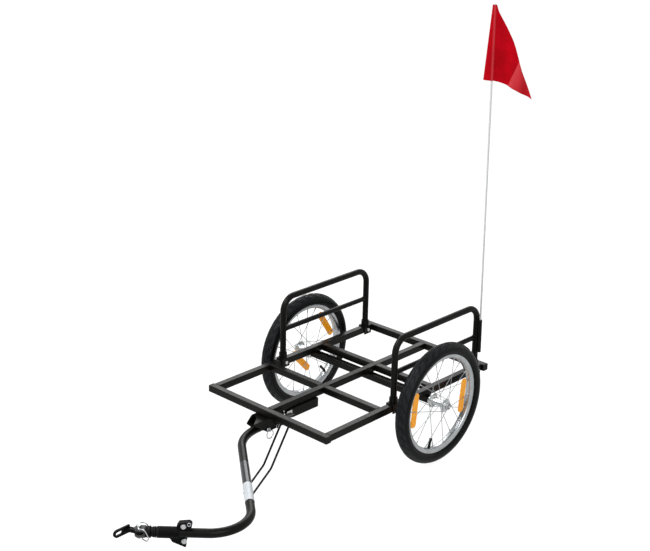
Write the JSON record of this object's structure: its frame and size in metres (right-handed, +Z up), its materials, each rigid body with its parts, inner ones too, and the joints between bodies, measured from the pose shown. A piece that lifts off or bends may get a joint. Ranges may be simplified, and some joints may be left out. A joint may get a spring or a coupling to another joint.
{
  "type": "cargo bike trailer",
  "caption": "Flat tube-frame cargo bike trailer with side hoops, spoked wheels, bent tow bar, flexible coupler, wire stand and a safety flag",
  "frame": {"origin": "on the ground, under the middle of the overall footprint", "axes": "+X forwards along the bed to the tow bar, +Y to the trailer's left, +Z up"},
  "size_m": [1.4378, 0.6942, 1.3801],
  "materials": {
    "frame": "satin black powder coat",
    "plastic": "matte black",
    "tyre": "matte black rubber",
    "rim": "polished",
    "spokes": "bright zinc",
    "chrome": "bright",
    "zinc": "zinc plated",
    "cast": "dark grey satin",
    "rubber": "matte black",
    "reflector": "clear amber, prismatic",
    "flag": "woven nylon",
    "pole": "smooth fibreglass",
    "band": "blank vinyl"
  },
  "bodies": {
    "frame": {"front_cross": "frame", "rear_cross": "frame", "centre_rail": "frame", "rail_left": "frame", "rail_right": "frame", "second_cross_left": "frame", "second_cross_right": "frame", "third_cross_left": "frame", "third_cross_right": "frame", "cap_front_left": "plastic", "cap_front_right": "plastic", "cap_rear_left": "plastic", "cap_rear_right": "plastic", "axle_tube": "frame", "hoop_left": "frame", "hoop_right": "frame", "flag_sleeve": "plastic", "receiver": "frame", "rear_channel": "frame", "stand_bracket": "frame", "pivot_bolt": "chrome", "tow_bar": "frame", "label_band": "band", "coupler_clamp": "frame", "clamp_bolt_upper": "chrome", "clamp_bolt_lower": "chrome", "flex_joint": "rubber", "hoop_foot_front_left": "frame", "hoop_bolt_front_left": "zinc", "hoop_foot_front_right": "frame", "hoop_bolt_front_right": "zinc", "hoop_foot_rear_left": "frame", "hoop_bolt_rear_left": "zinc", "hoop_foot_rear_right": "frame", "hoop_bolt_rear_right": "zinc"},
    "quick_axle_left": {"axle_left": "chrome"},
    "quick_axle_right": {"axle_right": "chrome"},
    "button_left": {"axle_button_left": "spokes"},
    "button_right": {"axle_button_right": "spokes"},
    "wheel_left": {"tyre_left": "tyre", "rim_left": "rim", "hub_and_spokes_left": "spokes", "valve_left": "plastic", "reflector_left_1": "reflector", "reflector_left_2": "reflector"},
    "wheel_right": {"tyre_right": "tyre", "rim_right": "rim", "hub_and_spokes_right": "spokes", "valve_right": "plastic", "reflector_right_1": "reflector", "reflector_right_2": "reflector"},
    "stand": {"kickstand": "frame"},
    "hitch_pin": {"hitch_pin": "chrome"},
    "pull_ring": {"pull_ring": "spokes"},
    "yoke": {"yoke": "cast", "yoke_pin": "chrome"},
    "bail": {"bail": "spokes"},
    "adapter": {"axle_plate": "cast"},
    "flag": {"flag_pole": "pole", "flag": "flag"}
  },
  "joints": [
    {"name": "axle_left_pull", "type": "slide", "parent": "frame", "child": "quick_axle_left", "axis": [0, 1, 0], "range_m": [0, 0.065]},
    {"name": "wheel_left_spin", "type": "hinge", "parent": "quick_axle_left", "child": "wheel_left", "pos_m": [-0.43288, 0.26671, 0.194], "axis": [0, 1, 0], "continuous": true},
    {"name": "button_left_press", "type": "slide", "parent": "quick_axle_left", "child": "button_left", "axis": [0, -1, 0], "range_m": [0, 0.002], "stiffness_N_per_m": 600},
    {"name": "axle_right_pull", "type": "slide", "parent": "frame", "child": "quick_axle_right", "axis": [0, -1, 0], "range_m": [0, 0.065]},
    {"name": "wheel_right_spin", "type": "hinge", "parent": "quick_axle_right", "child": "wheel_right", "pos_m": [-0.43288, -0.30529, 0.194], "axis": [0, 1, 0], "continuous": true},
    {"name": "button_right_press", "type": "slide", "parent": "quick_axle_right", "child": "button_right", "axis": [0, 1, 0], "range_m": [0, 0.002], "stiffness_N_per_m": 600},
    {"name": "stand_fold", "type": "hinge", "parent": "frame", "child": "stand", "pos_m": [-0.02428, 0.01971, 0.1935], "axis": [0, 1, 0], "range_deg": [0, 120]},
    {"name": "hitch_pin_pull", "type": "slide", "parent": "frame", "child": "hitch_pin", "axis": [0, 1, 0], "range_m": [0, 0.062]},
    {"name": "pull_ring_swing", "type": "hinge", "parent": "hitch_pin", "child": "pull_ring", "pos_m": [0.03012, 0.00251, 0.17], "axis": [1, 0, 0], "range_deg": [-12, 110]},
    {"name": "coupler_flex", "type": "hinge", "parent": "frame", "child": "yoke", "pos_m": [0.63611, 0.19899, 0.17], "axis": [0.7426, 0.6697, 0], "range_deg": [-25, 25], "stiffness_Nm_per_rad": 15},
    {"name": "adapter_swing", "type": "hinge", "parent": "yoke", "child": "adapter", "pos_m": [0.66088, 0.17152, 0.17], "axis": [0, 0, 1], "range_deg": [-70, 100]},
    {"name": "bail_open", "type": "hinge", "parent": "yoke", "child": "bail", "pos_m": [0.66088, 0.17152, 0.1863], "axis": [0.7426, 0.6697, 0], "range_deg": [-40, 0]},
    {"name": "flag_pole_pull", "type": "slide", "parent": "frame", "child": "flag", "axis": [0.0236, 0, 0.9997], "range_m": [0, 0.107]}
  ]
}
